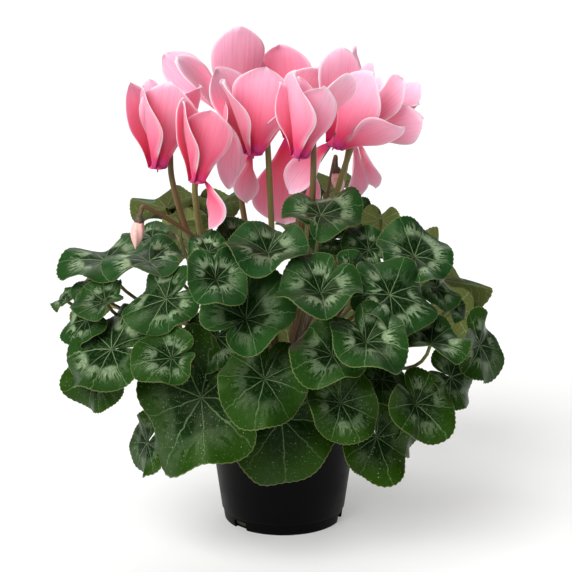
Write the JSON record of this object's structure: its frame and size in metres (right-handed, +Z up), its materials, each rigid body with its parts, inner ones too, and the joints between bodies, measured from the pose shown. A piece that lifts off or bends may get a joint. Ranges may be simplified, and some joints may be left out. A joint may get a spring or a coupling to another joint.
{
  "type": "potted cyclamen",
  "caption": "Flowering cyclamen in a round nursery pot: a low dome of marbled heart-shaped leaves with swept-back pink flowers and nodding buds on bare stalks above it.",
  "frame": {"origin": "the centre of the pot's flat base, on the surface that it stands on", "axes": "+Z up, -Y towards the side that the picture shows as the front, +X to the viewer's right"},
  "size_m": [0.3176, 0.338, 0.3548],
  "materials": {
    "pot": "satin black moulded plastic",
    "soil": "moist crumbly peat",
    "tuber": "dull corky skin",
    "leaf": "soft satin leaf, marbled silver-green on dark green",
    "petal": "soft satin petal, salmon pink with a pale margin",
    "stalk": "smooth fleshy stalk"
  },
  "bodies": {
    "root": {"bud_left_petals": "petal", "bud_left_stalk": "stalk", "bud_right_petals": "petal", "bud_right_stalk": "stalk", "flower_back_middle_petals": "petal", "flower_back_middle_stalk": "stalk", "flower_back_right_petals": "petal", "flower_back_right_stalk": "stalk", "flower_far_right_petals": "petal", "flower_far_right_stalk": "stalk", "flower_front_left_petals": "petal", "flower_front_left_stalk": "stalk", "flower_front_right_petals": "petal", "flower_front_right_stalk": "stalk", "flower_left_petals": "petal", "flower_left_stalk": "stalk", "flower_right_petals": "petal", "flower_right_stalk": "stalk", "flower_small_front_petals": "petal", "flower_small_front_stalk": "stalk", "flower_tall_left_petals": "petal", "flower_tall_left_stalk": "stalk", "leaves_high_01": "leaf", "leaves_high_02": "leaf", "leaves_high_03": "leaf", "leaves_high_04": "leaf", "leaves_high_05": "leaf", "leaves_high_06": "leaf", "leaves_high_07": "leaf", "leaves_high_08": "leaf", "leaves_high_09": "leaf", "leaves_high_10": "leaf", "leaves_high_11": "leaf", "leaves_high_12": "leaf", "leaves_high_13": "leaf", "leaves_low_01": "leaf", "leaves_low_02": "leaf", "leaves_low_03": "leaf", "leaves_low_04": "leaf", "leaves_low_05": "leaf", "leaves_low_06": "leaf", "leaves_low_07": "leaf", "leaves_low_08": "leaf", "leaves_low_09": "leaf", "leaves_middle_01": "leaf", "leaves_middle_02": "leaf", "leaves_middle_03": "leaf", "leaves_middle_04": "leaf", "leaves_middle_05": "leaf", "leaves_middle_06": "leaf", "leaves_middle_07": "leaf", "leaves_middle_08": "leaf", "leaves_middle_09": "leaf", "leaves_middle_10": "leaf", "pot": "pot", "soil": "soil", "tuber": "tuber"}
  },
  "joints": []
}
